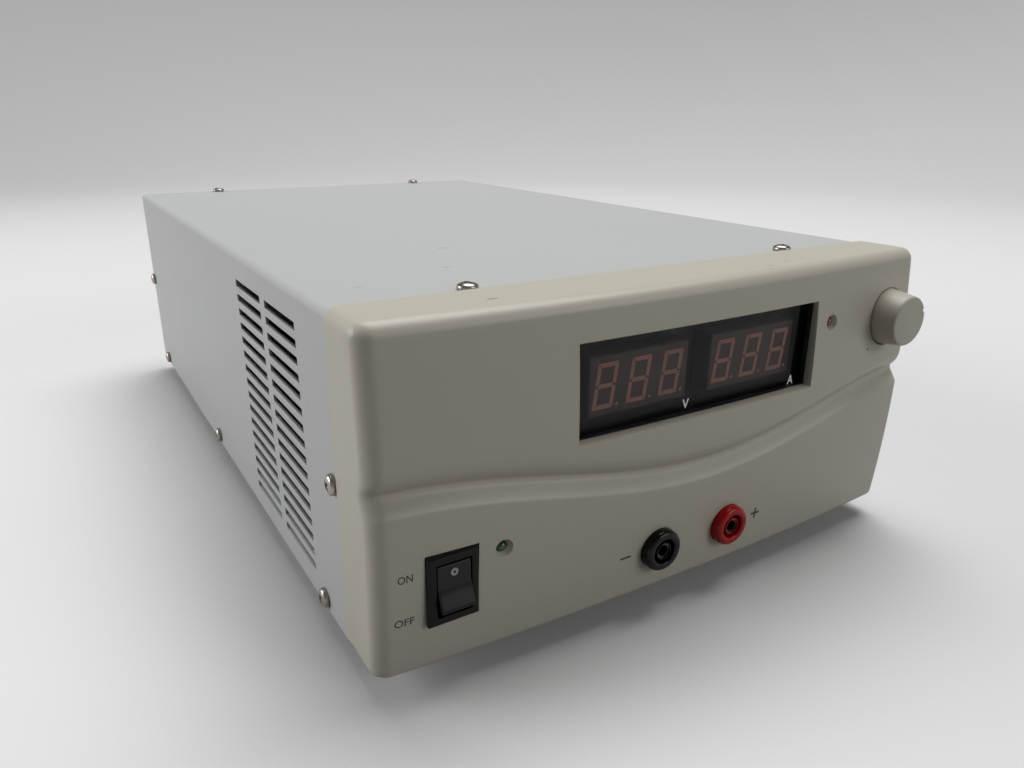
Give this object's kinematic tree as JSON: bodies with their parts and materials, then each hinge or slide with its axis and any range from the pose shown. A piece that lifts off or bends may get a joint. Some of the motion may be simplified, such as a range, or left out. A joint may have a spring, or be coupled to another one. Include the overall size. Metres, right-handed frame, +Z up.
{
  "type": "bench power supply",
  "caption": "Bench power supply with a bowed moulded front, digital meters, voltage knob, rocker switch, auxiliary sockets, vented steel cover, rear fan and output posts.",
  "frame": {"origin": "under the middle of the object, on the plane that its feet stand on", "axes": "+X to the right seen from the front, +Y from the front to the back, +Z up"},
  "size_m": [0.2232, 0.3918, 0.1112],
  "materials": {
    "bezel_plastic": "satin moulded plastic, light warm grey",
    "cover_paint": "fine powder coat, pale grey",
    "zinc_steel": "zinc plated sheet",
    "nickel": "nickel plated",
    "black_plastic": "satin black",
    "red_plastic": "glossy red",
    "smoked_window": "smoked acrylic",
    "digit_module": "dark display face with unlit segments",
    "circuit_board": "green solder mask",
    "green_lamp": "green diffused lens",
    "red_lamp": "red diffused lens",
    "rubber": "matt black",
    "aluminium": "extruded",
    "ferrite": "dark grey ferrite",
    "copper": "enamelled copper wire",
    "winding_tape": "yellow winding tape",
    "can_sleeve": "printed shrink sleeve",
    "epoxy": "moulded package",
    "brass": "bright brass"
  },
  "bodies": {
    "case": {"front_bezel": "bezel_plastic", "display_surround": "black_plastic", "display_window": "smoked_window", "volts_module": "digit_module", "amps_module": "digit_module", "display_board": "circuit_board", "display_board_screws": "zinc_steel", "bezel_screws": "zinc_steel", "power_led": "green_lamp", "overload_led": "red_lamp", "switch_housing": "black_plastic", "switch_terminals": "brass", "pot_body": "zinc_steel", "pot_nut": "nickel", "aux_socket_negative": "black_plastic", "aux_socket_positive": "red_plastic", "socket_sleeves": "nickel", "socket_nuts": "nickel", "top_cover": "cover_paint", "cover_top_screws": "nickel", "cover_side_screws": "nickel", "chassis": "zinc_steel", "rubber_feet": "rubber", "feet_screws": "zinc_steel", "feet_nuts": "zinc_steel", "main_board": "circuit_board", "board_standoffs": "brass", "board_screws": "zinc_steel", "primary_heat_sink": "aluminium", "output_heat_sink": "aluminium", "power_transistors": "epoxy", "output_rectifiers": "epoxy", "transformer_core": "ferrite", "transformer_winding": "winding_tape", "output_choke_core": "ferrite", "output_choke_winding": "copper", "line_choke_core": "ferrite", "line_choke_windings": "copper", "bulk_capacitors": "can_sleeve", "output_capacitors": "can_sleeve", "bridge_rectifier": "epoxy", "fan_frame": "black_plastic", "fan_guard": "nickel", "fan_screws": "nickel", "mains_inlet": "black_plastic", "inlet_pins": "nickel", "post_base_positive": "red_plastic", "post_base_negative": "black_plastic", "post_studs": "brass", "post_washers": "epoxy", "post_nuts": "nickel", "output_busbars": "copper"},
    "rocker": {"power_rocker": "black_plastic"},
    "knob": {"voltage_knob": "bezel_plastic", "pot_shaft": "aluminium"},
    "fan_wheel": {"fan_rotor": "black_plastic"},
    "positive_cap": {"post_cap_positive": "red_plastic"},
    "negative_cap": {"post_cap_negative": "black_plastic"},
    "drawer": {"fuse_drawer": "black_plastic"}
  },
  "joints": [
    {"name": "rocker_rock", "type": "hinge", "parent": "case", "child": "rocker", "pos_m": [-0.0875, -0.18498, 0.03469], "axis": [1, 0, 0], "range_deg": [0, 24]},
    {"name": "knob_turn", "type": "hinge", "parent": "case", "child": "knob", "pos_m": [0.0935, -0.18562, 0.0866], "axis": [0, -1, 0], "range_deg": [-67, 203]},
    {"name": "fan_spin", "type": "hinge", "parent": "case", "child": "fan_wheel", "pos_m": [-0.05142, 0.15622, 0.058], "axis": [0, 1, 0], "continuous": true},
    {"name": "positive_cap_unscrew", "type": "slide", "parent": "case", "child": "positive_cap", "axis": [0, 1, 0], "range_m": [0, 0.006]},
    {"name": "negative_cap_unscrew", "type": "slide", "parent": "case", "child": "negative_cap", "axis": [0, 1, 0], "range_m": [0, 0.006]},
    {"name": "drawer_slide", "type": "slide", "parent": "case", "child": "drawer", "axis": [0, 1, 0], "range_m": [0, 0.015]}
  ]
}
